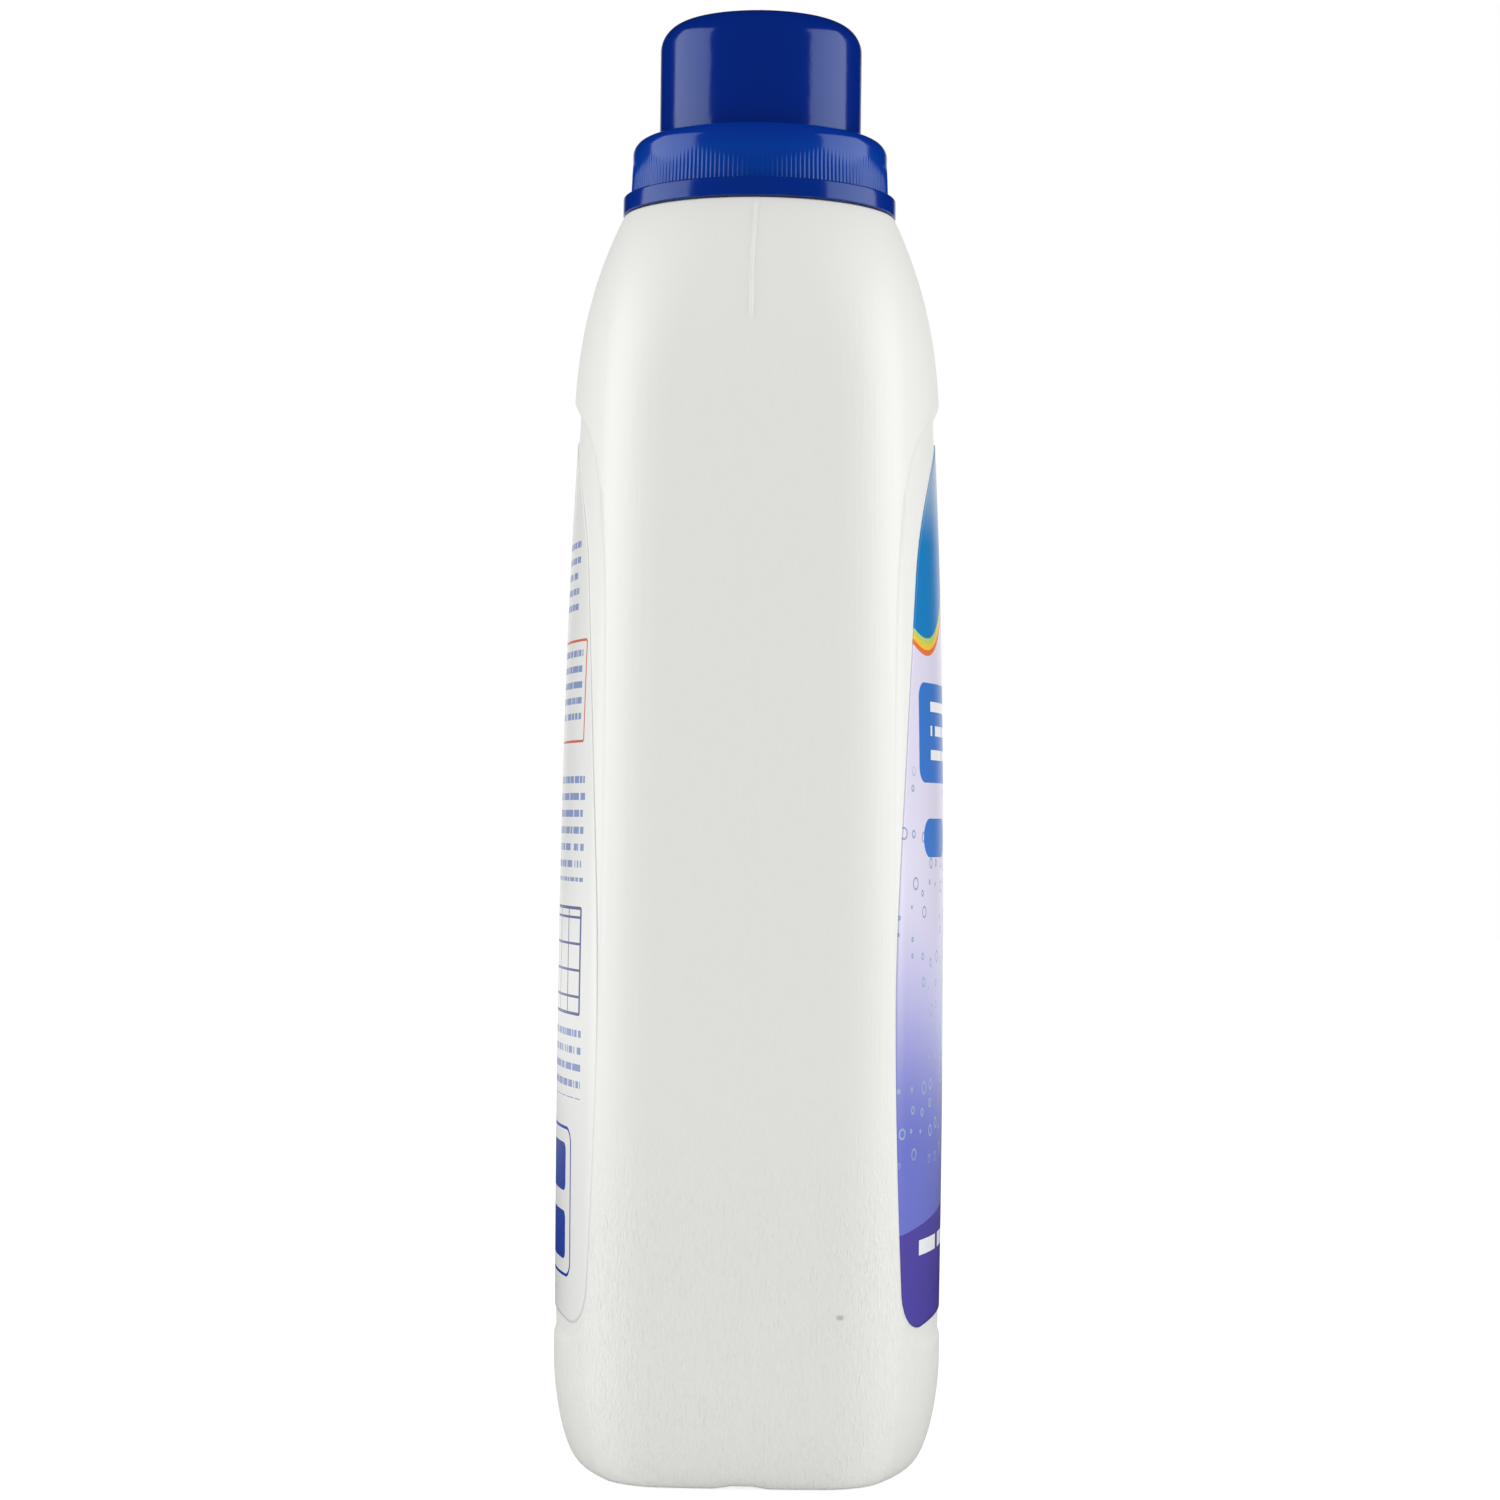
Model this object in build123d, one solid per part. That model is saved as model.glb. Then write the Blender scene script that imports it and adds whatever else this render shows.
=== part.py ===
from build123d import *
from math import cos, radians, sin, sqrt
import os

# Laundry detergent bottle, in millimetres. +Z is up, the base stands on Z = 0,
# the front label faces -Y, the back label faces +Y and the mould seams are at +X and -X.

# Body of the bottle
body_width = 86.0          # from seam side to seam side, at the belly
body_depth = 76.1          # from label face to label face, at the belly
belly_height = 65.0        # height of the fullest section
width_taper = 1.3          # what each seam side draws in between belly and shoulder
depth_taper = 2.15         # the same for each label face
shoulder_start = 200.0     # height where the shoulder begins to close in
shoulder_height = 241.9    # height of the flat land under the cap
shoulder_power = 2.56      # how suddenly the shoulder closes in
land_radius = 26.65        # round top of the shoulder
corner_radius = 16.0       # upright corners between label faces and seam sides
corner_power = 1.75        # how suddenly they open out to the land's circle
face_turn = 26.0           # half of the angle that a label face's arc turns through
side_turn = 3.0            # the same for a seam side
heel_height = 19.0         # rounded heel, upwards
heel_inset = 4.6           # rounded heel, inwards from the label faces
heel_power = 1.75          # 2 would make it an ellipse, less makes it flatter
heel_side_share = 0.7      # share of that inset that the seam sides take
heel_corner_share = 0.8    # share of that inset by which the corner radius shrinks
wall = 1.1                 # blow-moulded wall
base_wall = 1.7            # thicker wall at the pinched base
base_dish_depth = 2.2      # hollow under the base
base_dish_run = 5.0        # how far in the hollow's sloping edge runs
base_dish_corner = 10.0    # corner radius of the hollow
base_rim_width = 5.0       # flat standing rim round that hollow
pinch_width = 7.0          # shallow channel across the base along the pinch-off line
pinch_depth = 0.5

# Mould seam, a fine raised line down both seam sides
seam_width = 0.7
seam_height = 0.2

# Label panels, sunk into both label faces
panel_depth = 0.45         # at the bottom of the panel
panel_top_depth = 0.82     # what the panel gains in depth towards its top
panel_fall_start = 110.0   # height where it starts to gain depth
panel_top = 204.5          # crown of the arched top edge
panel_arch_radius = 42.6
panel_bottom = 24.3        # height of the bottom edge on the centre line
panel_bottom_bow = 1.6     # what the bottom corners lie higher
panel_corner_radius = 8.0  # top corners
panel_foot_radius = 10.0   # bottom corners
panel_margin = 5.4         # from the seam side in to the panel, where it is widest
panel_top_margin = 9.2     # the same at the top corners, before they are rounded
panel_foot_margin = 9.0    # the same at the bottom corners

# Labels, glued into the panels
label_thickness = 0.15
label_glue = 0.1           # layer under the label
label_top = 198.2          # height of the pointed top
label_bottom = 29.6        # height of the bottom edge on the centre line
label_bottom_bow = 1.9     # what the bottom corners hang lower
label_corner_radius = 8.0
label_margin = 0.8         # from the panel's sides in to the label
label_widest_height = 88.0
label_arch_margin = 15.5   # from the seam side in to where the sides turn into the pointed arch
label_arch_height = 170.0

# Neck of the bottle
neck_bore_radius = 19.8
neck_wall = 2.0
neck_height = 11.1
bead_radius = 24.4         # ring at the foot of the neck
bead_height = 2.0

# Screw thread, right hand, one start
thread_lead = 6.0
thread_turns = 0.8
thread_depth = 1.3
thread_root_width = 2.6
thread_crest_width = 1.2
thread_clearance = 0.4
thread_first_height = 4.3  # first turn's middle, above the land
thread_bite = 0.4          # what a ridge is sunk into its wall

# Dosing cap, a measuring cup in one piece with its screw skirt
closing_gap = 0.1          # between flat faces that meet when the cap is shut
cup_height = 23.8
cup_radius = 19.8
cup_wall = 1.3
cup_edge_radius = 5.2
cup_edge_turn = 84.0       # angle of that edge, up to the slightly domed top
cup_crown = 0.8            # rise of the top's middle above the edge's centre and radius
cup_foot_radius = 0.6
cap_plate = 1.5            # flat ring between cup and skirt
skirt_wall = 1.5
skirt_draft = 0.3          # what the skirt's radius gains downwards
skirt_shoulder_radius = 2.8
rib_count = 176
rib_depth = 0.35
rib_backing = 0.2          # from the grooves in to the skirt's wall
rib_bite = 0.15            # what the ribbed band is sunk into that wall
rib_tuck = 0.3             # what its ends run on into the skirt's shoulder and the ring below
rib_top_drop = 4.2         # from the plate's top down to the ribs' upper ends
rib_top_relief = 0.05      # what the ribs stand back there
flare_radius = 26.8        # smooth ring at the foot of the skirt, with a flat top
flare_height = 3.2
flare_rounding = 0.4       # top edge of that ring
flare_wall = 1.4
flare_gap = 0.4            # between the ring and the bottle's land

# Pouring fitting, pressed into the neck
flange_thickness = 1.3
plug_clearance = 0.05
plug_depth = 9.6
plug_wall = 1.2
spout_radius = 10.2        # inside of the pouring tube
spout_wall = 1.2
spout_rise = 17.5          # lip above the flange
spout_cut_angle = 32.0     # slope of the tube's mouth
gutter_slope = 5.0         # fall of the gutter's floor towards the drain slot
gutter_thickness = 1.2
gutter_depth = 6.6         # middle of the floor, below the flange
drain_width = 5.0
drain_height = 4.5

# Sealing ring
seal_thickness = 1.0
seal_clearance = 0.4

# Sections that the body is lofted through
heel_step = 15.0           # turn from one to the next around the heel
straight_sections = 9      # from the heel up to the shoulder
straight_grading = 1.7     # how much closer together they start
closing_sections = 8       # up the shoulder

# Sizes that follow
panel_half_width = body_width / 2 - panel_margin
panel_top_half_width = body_width / 2 - panel_top_margin
panel_foot_half_width = body_width / 2 - panel_foot_margin
label_half_width = panel_half_width - label_margin
label_foot_half_width = panel_foot_half_width - label_margin
label_arch_half_width = body_width / 2 - label_arch_margin
neck_radius = neck_bore_radius + neck_wall
thread_radius = neck_radius + thread_depth
skirt_inner_radius = thread_radius + thread_clearance
skirt_radius = skirt_inner_radius + skirt_wall
neck_top = shoulder_height + neck_height
flange_top = neck_top + flange_thickness
seal_bottom = flange_top + closing_gap
cap_underside = seal_bottom + seal_thickness + closing_gap
cap_plate_top = cap_underside + cap_plate
cap_top = cap_plate_top + cup_height
cap_bottom = shoulder_height + flare_gap
rib_top = cap_plate_top - rib_top_drop

upward = (Align.CENTER, Align.CENTER, Align.MIN)


def heel_loss(height):
    """What the rounded heel takes off the outline's half depth."""
    share = min(1.0, max(0.0, (heel_height - height) / heel_height))
    return heel_inset * (1 - (1 - share**heel_power) ** (1 / heel_power))


def shoulder_share(height):
    return max(0.0, (height - shoulder_start) / (shoulder_height - shoulder_start))


def half_size(full_size, taper, height):
    """Half of the body's size at a height, belly and shoulder together."""
    rise = (height - belly_height) / (shoulder_start - belly_height)
    plain = full_size / 2 - taper * rise**2
    return plain - (plain - land_radius) * shoulder_share(height) ** shoulder_power


def half_width(height):
    return half_size(body_width, width_taper, height) - heel_side_share * heel_loss(height)


def half_depth(height):
    return half_size(body_depth, depth_taper, height) - heel_loss(height)


def corner_at(height):
    """The corner's radius shrinks in the heel and opens out to the land's circle."""
    opening = (land_radius - corner_radius) * shoulder_share(height) ** corner_power
    return corner_radius - heel_corner_share * heel_loss(height) + opening


def panel_depth_at(height):
    """Deepest near the panel's top, and nothing again at the land."""
    fall = max(0.0, (height - panel_fall_start) / (shoulder_start - panel_fall_start))
    return (panel_depth + panel_top_depth * min(1.0, fall) ** 3) * (1 - shoulder_share(height) ** 2)


def outline(reach_x, reach_y, corner, height):
    """Closed outline of eight tangent arcs with the two half sizes and the corner radius given."""
    sf, cf = sin(radians(face_turn)), cos(radians(face_turn))
    ss, cs = sin(radians(side_turn)), cos(radians(side_turn))
    beyond_x = reach_x - corner * (cs - sf)
    beyond_y = reach_y - corner * (cf - ss)
    turned = sf * ss - (1 - cs) * (1 - cf)
    face = (beyond_x * ss - beyond_y * (1 - cs)) / turned
    side = (beyond_y * sf - beyond_x * (1 - cf)) / turned
    side_centre = reach_x - side
    face_centre = reach_y - face
    corner_x = (face - corner) * sf
    corner_y = face_centre + (face - corner) * cf
    corner_turn = 90 - face_turn - side_turn
    arcs = [
        CenterArc((side_centre, 0), side, -side_turn, 2 * side_turn),
        CenterArc((corner_x, corner_y), corner, side_turn, corner_turn),
        CenterArc((0, face_centre), face, 90 - face_turn, 2 * face_turn),
        CenterArc((-corner_x, corner_y), corner, 90 + face_turn, corner_turn),
        CenterArc((-side_centre, 0), side, 180 - side_turn, 2 * side_turn),
        CenterArc((-corner_x, -corner_y), corner, 180 + side_turn, corner_turn),
        CenterArc((0, -face_centre), face, 270 - face_turn, 2 * face_turn),
        CenterArc((corner_x, -corner_y), corner, 270 + face_turn, corner_turn),
    ]
    return Pos(0, 0, height) * make_face(Wire(arcs))


def station_heights():
    """Close together in the heel and the shoulder, and ever wider apart between them."""
    heel_steps = round(90 / heel_step)
    rise = shoulder_start - heel_height
    close = shoulder_height - shoulder_start
    heel = [heel_height * (1 - cos(radians(heel_step * step))) for step in range(heel_steps)]
    shares = [step / straight_sections for step in range(straight_sections + 1)]
    straight = [heel_height + rise * share**straight_grading for share in shares]
    closing = [shoulder_start + close * (step + 1) / closing_sections for step in range(closing_sections)]
    return heel + straight + closing


def body_loft(shrink=0.0, panel=False, grow=0.0, floor=0.0, roof=0.0):
    """The body's form. shrink moves it inwards, panel takes the label faces down to the panels,
    grow moves the label faces out again, and floor and roof bring in its two ends."""
    stretch = (shoulder_height - floor - roof) / shoulder_height
    sections = []
    for height in station_heights():
        width = half_width(height) - shrink
        depth = half_depth(height) - shrink + grow
        if panel:
            depth -= panel_depth_at(height)
        corner = max(corner_at(height) - shrink, 1.0)
        sections.append(outline(width, depth, corner, floor + height * stretch))
    return loft(sections)


def label_outline():
    """Pointed arch above, bowed bottom edge below."""
    foot = (label_foot_half_width, label_bottom - label_bottom_bow)
    arch = (label_arch_half_width, label_arch_height)
    side = ThreePointArc(foot, (label_half_width, label_widest_height), arch)
    crest = TangentArc(arch, (0, label_top), tangent=side % 1)
    bottom = ThreePointArc((-foot[0], foot[1]), (0, label_bottom), foot)
    left = [mirror(edge, about=Plane.YZ) for edge in (side, crest)]
    face = make_face([bottom, side, crest] + left)
    return fillet(face.vertices().sort_by(Axis.Y)[:2], label_corner_radius)


def panel_outline():
    """Round arch above, bowed bottom edge below, rounded corners."""
    foot = (panel_foot_half_width, panel_bottom + panel_bottom_bow)
    drop = panel_arch_radius - sqrt(panel_arch_radius**2 - panel_top_half_width**2)
    corner = (panel_top_half_width, panel_top - drop)
    side = ThreePointArc(foot, (panel_half_width, label_widest_height), corner)
    top = ThreePointArc(corner, (0, panel_top), (-corner[0], corner[1]))
    bottom = ThreePointArc((-foot[0], foot[1]), (0, panel_bottom), foot)
    face = make_face([bottom, side, top, mirror(side, about=Plane.YZ)])
    face = fillet(face.vertices().sort_by(Axis.Y)[:2], panel_foot_radius)
    return fillet(face.vertices().sort_by(Axis.Y)[-2:], panel_corner_radius)


def face_prism(face, side):
    """An upright outline carried through one half of the body, front at side -1, back at +1."""
    upright = Plane(origin=(0, 0, 0), x_dir=(-side, 0, 0), z_dir=(0, side, 0))
    return extrude(upright * face, amount=body_depth)


def ring(outer, inner, bottom, top):
    profile = Polyline((inner, bottom), (outer, bottom), (outer, top), (inner, top), close=True)
    return revolve(Plane.XZ * make_face(profile), Axis.Z)


def lines(*points):
    return [Line(start, end) for start, end in zip(points, points[1:])]


def thread_ridge(root_radius, depth, start_angle):
    """One start of right-hand thread. A positive depth stands out, a negative one stands in."""
    way = 1 if depth > 0 else -1
    path = Helix(pitch=thread_lead, height=thread_lead * thread_turns, radius=root_radius)
    section = Plane(origin=path @ 0, x_dir=(1, 0, 0), z_dir=path % 0) * make_face(
        Polyline(
            (-way * thread_bite, -thread_root_width / 2),
            (depth, -thread_crest_width / 2),
            (depth, thread_crest_width / 2),
            (-way * thread_bite, thread_root_width / 2),
            close=True,
        )
    )
    ridge = sweep(section, path=path, is_frenet=True)
    return Pos(0, 0, shoulder_height + thread_first_height) * Rot(0, 0, start_angle) * ridge


def base_dish(extra):
    """Tapered plug for the hollow under the base, grown by extra for the wall above it."""
    levels = []
    for way in (-1, 1):
        inset = base_rim_width + way * base_dish_run - extra
        width, depth = half_width(0) - inset, half_depth(0) - inset
        levels.append(outline(width, depth, base_dish_corner, way * base_dish_depth + extra))
    return loft(levels, ruled=True)


def make_bottle():
    outside = body_loft()
    slab = Box(2 * body_width, seam_width, shoulder_height - 2 * seam_height, align=upward)
    outside += body_loft(shrink=-seam_height) & Pos(0, 0, seam_height) * slab
    panel_form = body_loft(panel=True)
    for side in (-1, 1):
        outside -= face_prism(panel_outline(), side) - panel_form
    cavity = body_loft(shrink=wall, panel=True, floor=base_wall, roof=wall) - base_dish(base_wall)
    neck = ring(neck_radius, neck_bore_radius, shoulder_height - wall, neck_top)
    neck += ring(bead_radius, neck_bore_radius, shoulder_height - wall, shoulder_height + bead_height)
    neck += thread_ridge(neck_radius, thread_depth, 0)
    mouth = Pos(0, 0, shoulder_height) * Cylinder(neck_bore_radius, 4 * neck_height)
    pinch = Box(2 * body_width, pinch_width, 2 * pinch_depth)
    return outside - base_dish(0.0) - pinch - cavity - mouth + neck


def make_label(side):
    film = face_prism(label_outline(), side) & body_loft(panel=True, grow=label_glue + label_thickness)
    return film - body_loft(panel=True, grow=label_glue)


def rib_ring(radius, height):
    """Toothed outline of the ribbed band at one height."""
    step = 360 / rib_count
    points = []
    for index in range(rib_count):
        for reach, turn in ((radius - rib_depth, index), (radius, index + 0.5)):
            angle = radians(step * turn)
            points.append((reach * cos(angle), reach * sin(angle)))
    return Pos(0, 0, height) * make_face(Polyline(*points, close=True))


def make_cap():
    low_radius = skirt_radius + skirt_draft
    core = skirt_radius - rib_depth - rib_backing
    flare_top = cap_bottom + flare_height + flare_rounding
    cup_side_top = cap_top - cup_crown - cup_edge_radius
    skirt_turn = (skirt_radius - skirt_shoulder_radius, cap_plate_top - skirt_shoulder_radius)
    cup_turn = (cup_radius + cup_foot_radius, cap_plate_top + cup_foot_radius)
    edge_centre = (cup_radius - cup_edge_radius, cup_side_top)
    cup_edge = CenterArc(edge_centre, cup_edge_radius, 0, cup_edge_turn)
    crown_edge = cup_edge @ 1
    crown = ThreePointArc(crown_edge, (0, cap_top), (-crown_edge.X, crown_edge.Y)).trim(0, 0.5)
    inside_edge = CenterArc(edge_centre, cup_edge_radius - cup_wall, 0, 90)
    flare_inside = flare_radius - flare_wall
    flare_edge = (flare_radius, cap_bottom + flare_height)
    flare_crest = (flare_radius - flare_rounding, flare_top)
    profile = [
        *lines((flare_inside, cap_bottom), (flare_radius, cap_bottom), flare_edge),
        CenterArc((flare_crest[0], flare_edge[1]), flare_rounding, 0, 90),
        *lines(flare_crest, (core, flare_top), (core, rib_top), (skirt_radius, rib_top)),
        Line((skirt_radius, rib_top), (skirt_radius, skirt_turn[1])),
        CenterArc(skirt_turn, skirt_shoulder_radius, 0, 90),
        Line((skirt_turn[0], cap_plate_top), (cup_turn[0], cap_plate_top)),
        CenterArc(cup_turn, cup_foot_radius, 180, 90),
        Line((cup_radius, cup_turn[1]), (cup_radius, cup_side_top)),
        cup_edge,
        crown,
        *lines((0, cap_top), (0, (inside_edge @ 1).Y), inside_edge @ 1),
        inside_edge,
        *lines(
            inside_edge @ 0,
            (cup_radius - cup_wall, cap_underside),
            (skirt_inner_radius, cap_underside),
            (skirt_inner_radius, flare_top - flare_wall),
            (flare_inside, flare_top - flare_wall),
            (flare_inside, cap_bottom),
        ),
    ]
    cap = revolve(Plane.XZ * make_face(profile), Axis.Z)
    band_ends = [
        rib_ring(low_radius, flare_top - rib_tuck),
        rib_ring(skirt_radius - rib_top_relief, rib_top + rib_tuck),
    ]
    band = loft(band_ends, ruled=True) - Pos(0, 0, rib_top) * Cylinder(core - rib_bite, 4 * skirt_radius)
    return cap + thread_ridge(skirt_inner_radius, -thread_depth, 180) + band


def make_spout():
    plug_radius = neck_bore_radius - plug_clearance
    plug_bottom = flange_top - plug_depth
    floor_height = flange_top - gutter_depth
    lip_height = flange_top + spout_rise
    tube_radius = spout_radius + spout_wall
    fitting = ring(neck_radius, plug_radius - plug_wall, neck_top, flange_top)
    fitting += ring(plug_radius, plug_radius - plug_wall, plug_bottom, flange_top)
    floor_disc = Cylinder(2 * plug_radius, gutter_thickness)
    floor_plate = Pos(0, 0, floor_height) * Rot(0, gutter_slope, 0) * floor_disc
    well = Pos(0, 0, floor_height) * Cylinder(plug_radius - plug_wall / 2, plug_depth)
    fitting += floor_plate & well
    tube = ring(tube_radius, spout_radius, floor_height - gutter_thickness, lip_height)
    blade = Box(8 * tube_radius, 4 * tube_radius, 4 * tube_radius, align=upward)
    tube -= Pos(-tube_radius, 0, lip_height) * Rot(0, spout_cut_angle, 0) * blade
    fitting += tube
    fitting -= Pos(0, 0, floor_height) * Cylinder(spout_radius, 2 * plug_depth)
    slot = Box(4 * spout_wall, drain_width, drain_height, align=upward)
    slot_height = floor_height - sin(radians(gutter_slope)) * tube_radius + gutter_thickness / 2
    return fitting - Pos(spout_radius + spout_wall / 2, 0, slot_height) * slot


def make_seal():
    inner = cup_radius - cup_wall + seal_clearance
    return ring(skirt_inner_radius - seal_clearance, inner, seal_bottom, seal_bottom + seal_thickness)


os.makedirs("parts", exist_ok=True)
export_step(make_bottle(), "parts/bottle.step")
export_step(make_spout(), "parts/pour_spout.step")
export_step(make_seal(), "parts/seal_ring.step")
export_step(make_cap(), "parts/dosing_cap.step")
export_step(make_label(-1), "parts/front_label.step")
export_step(make_label(1), "parts/back_label.step")
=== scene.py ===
import bpy
import math
import numpy as np
import bmesh
from mathutils import Matrix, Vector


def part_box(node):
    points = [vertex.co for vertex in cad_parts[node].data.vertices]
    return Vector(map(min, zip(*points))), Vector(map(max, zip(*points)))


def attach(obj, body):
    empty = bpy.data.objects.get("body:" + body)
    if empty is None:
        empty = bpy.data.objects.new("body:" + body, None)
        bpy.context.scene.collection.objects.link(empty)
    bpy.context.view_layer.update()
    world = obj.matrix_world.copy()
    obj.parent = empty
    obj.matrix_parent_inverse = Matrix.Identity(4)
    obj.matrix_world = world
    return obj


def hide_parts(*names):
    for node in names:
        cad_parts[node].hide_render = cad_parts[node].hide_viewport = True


# Laundry detergent bottle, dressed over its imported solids.
# Lengths in the dictionaries are millimetres, turned to metres where a mesh is made, and angles are degrees.
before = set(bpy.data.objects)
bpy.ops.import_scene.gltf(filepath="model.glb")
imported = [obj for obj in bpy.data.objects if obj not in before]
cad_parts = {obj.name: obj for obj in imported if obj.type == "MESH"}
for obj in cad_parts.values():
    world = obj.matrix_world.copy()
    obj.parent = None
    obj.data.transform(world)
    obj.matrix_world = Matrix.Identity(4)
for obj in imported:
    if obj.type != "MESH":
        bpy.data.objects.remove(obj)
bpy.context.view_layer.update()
mm = 0.001
print("frame loaded, nodes:", ", ".join(sorted(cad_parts)))


# Small helpers
def topOf(node):
    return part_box(node)[1][2] / mm


def ease(t):
    # smooth step: 0 below 0, 1 above 1, 3t^2 - 2t^3 between them
    t = np.clip(t, 0.0, 1.0)
    return t * t * (3 - 2 * t)


def arcPoints(centre, radius, start, end, count):
    # points of a circle arc, angles in degrees
    a = np.radians(np.linspace(start, end, count))
    return np.stack([centre[0] + radius * np.cos(a), centre[1] + radius * np.sin(a)], axis=1)


def spaced(start, end, count):
    # as many even steps from start to end, without start itself
    return np.linspace(start, end, count + 1)[1:]


def spacedMarks(marks, counts):
    # even steps from each mark to the next, without the first mark itself
    return np.concatenate([spaced(low, high, count) for low, high, count in zip(marks, marks[1:], counts)])


def newObject(name, data):
    thing = bpy.data.objects.new(name, data)
    bpy.context.scene.collection.objects.link(thing)
    return thing


def meshFromGrid(name, grid, flip=False):
    # grid is rows x columns x 3 in millimetres. The columns close round, and the first and last rows are each
    # shut with one point in their middle.
    rows, cols = grid.shape[:2]
    points = grid.reshape(-1, 3)
    r, c = np.meshgrid(np.arange(rows - 1), np.arange(cols), indexing="ij")
    here, beside = r * cols + c, r * cols + (c + 1) % cols
    quads = np.stack([here, beside, beside + cols, here + cols], axis=-1).reshape(-1, 4)
    faces = [quads[:, ::-1] if flip else quads]
    loopTotals = [np.full(len(quads), 4)]
    column = np.arange(cols)
    for row, back in ((0, True), (rows - 1, False)):
        pole = len(points)
        points = np.vstack([points, grid[row].mean(axis=0)[None]])
        fan = np.stack([row * cols + column, row * cols + (column + 1) % cols, np.full(cols, pole)], axis=-1)
        faces.append(fan[:, ::-1] if back != flip else fan)
        loopTotals.append(np.full(cols, 3))
    mesh = bpy.data.meshes.new(name)
    corners = np.concatenate([f.ravel() for f in faces]).astype(np.int32)
    totals = np.concatenate(loopTotals).astype(np.int32)
    mesh.vertices.add(len(points))
    mesh.vertices.foreach_set("co", (points * mm).astype(np.float32).ravel())
    mesh.loops.add(len(corners))
    mesh.loops.foreach_set("vertex_index", corners)
    mesh.polygons.add(len(totals))
    mesh.polygons.foreach_set("loop_start", np.concatenate([[0], np.cumsum(totals)[:-1]]).astype(np.int32))
    mesh.polygons.foreach_set("loop_total", totals)
    mesh.polygons.foreach_set("use_smooth", np.ones(len(totals), dtype=bool))
    mesh.update(calc_edges=True)
    mesh.validate()
    return newObject(name, mesh)


def finishPiece(piece, body, node, material):
    piece.data.materials.clear()
    piece.data.materials.append(material)
    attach(piece, body)
    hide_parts(node)
    print("made", piece.name, len(piece.data.polygons), "faces")


# Bottle form, the same values as the solid's but for the seam, which is taller and less even
bodyForm = dict(
    width=86.0, depth=76.1, bellyHeight=65.0, widthTaper=1.3, depthTaper=2.15,
    shoulderStart=200.0, shoulderHeight=241.9, shoulderPower=2.56, landRadius=26.65,
    corner=16.0, cornerPower=1.75, faceTurn=26.0, sideTurn=3.0, heelHeight=19.0, heelInset=4.6,
    heelPower=1.75, heelSideShare=0.7, heelCornerShare=0.8, wall=1.1, baseWall=1.7,
    dishDepth=2.2, dishRun=5.0, dishCorner=10.0, rimWidth=5.0,
    pinchWidth=7.0, pinchDepth=0.5, pinchHeight=2.0, pinchReach=1.5,
)
panelForm = dict(
    depth=0.45, topDepth=0.82, fallStart=110.0, top=204.5, archRadius=42.6, bottom=24.3, bow=1.6,
    cornerRadius=8.0, footRadius=10.0, halfWidth=37.6, topHalfWidth=33.8, footHalfWidth=34.0, edge=1.9,
    widestHeight=88.0,
)
seamForm = dict(
    width=0.46, height=0.3, faintHeight=0.045, flashEnd=216.6, flashRun=1.5, topRun=0.6, topShare=0.4,
    lean=0.5, leanStart=60.0, leanRun=120.0, backShare=0.7, backRun=14.0,
    jog=0.2, jogHeight=227.0, jogReach=0.9,
)
neckForm = dict(
    bore=19.8, radius=21.8, bead=24.4, beadHeight=2.0, threadLead=6.0, threadTurns=0.8,
    threadDepth=1.3, threadFade=0.03, rootWidth=2.6, crestWidth=1.2, threadFirst=4.3, edge=0.35, edgeStart=15,
    landLift=0.03, landOverlap=0.4, beadFoot=(0.3, 0.2), rootSteps=((0.25, 0.0), (0.02, 0.2)), rootHeight=0.4,
    boreRow=4.0, boreEdge=(0.3, 0.4),
)
neckForm["top"] = topOf("bottle")


def heelLoss(z):
    # a rounded heel: inset x (1 - (1 - share^power)^(1/power)), share counted down from the heel's top
    b = bodyForm
    share = np.clip((b["heelHeight"] - z) / b["heelHeight"], 0, 1)
    return b["heelInset"] * (1 - (1 - share ** b["heelPower"]) ** (1 / b["heelPower"]))


def shoulderShare(z):
    b = bodyForm
    return np.clip((z - b["shoulderStart"]) / (b["shoulderHeight"] - b["shoulderStart"]), 0, 1)


def halfSize(fullSize, taper, z):
    # half of the full size, less a parabola away from the belly, less the shoulder's power curve
    b = bodyForm
    rise = (z - b["bellyHeight"]) / (b["shoulderStart"] - b["bellyHeight"])
    plain = fullSize / 2 - taper * rise**2
    return plain - (plain - b["landRadius"]) * shoulderShare(z) ** b["shoulderPower"]


def halfWidth(z):
    return halfSize(bodyForm["width"], bodyForm["widthTaper"], z) - bodyForm["heelSideShare"] * heelLoss(z)


def halfDepth(z):
    return halfSize(bodyForm["depth"], bodyForm["depthTaper"], z) - heelLoss(z)


def cornerAt(z):
    b = bodyForm
    opening = (b["landRadius"] - b["corner"]) * shoulderShare(z) ** b["cornerPower"]
    return b["corner"] - b["heelCornerShare"] * heelLoss(z) + opening


def panelDepthAt(z):
    p = panelForm
    fall = np.clip((z - p["fallStart"]) / (bodyForm["shoulderStart"] - p["fallStart"]), 0, 1)
    return (p["depth"] + p["topDepth"] * fall**3) * (1 - shoulderShare(z) ** 2)


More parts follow.
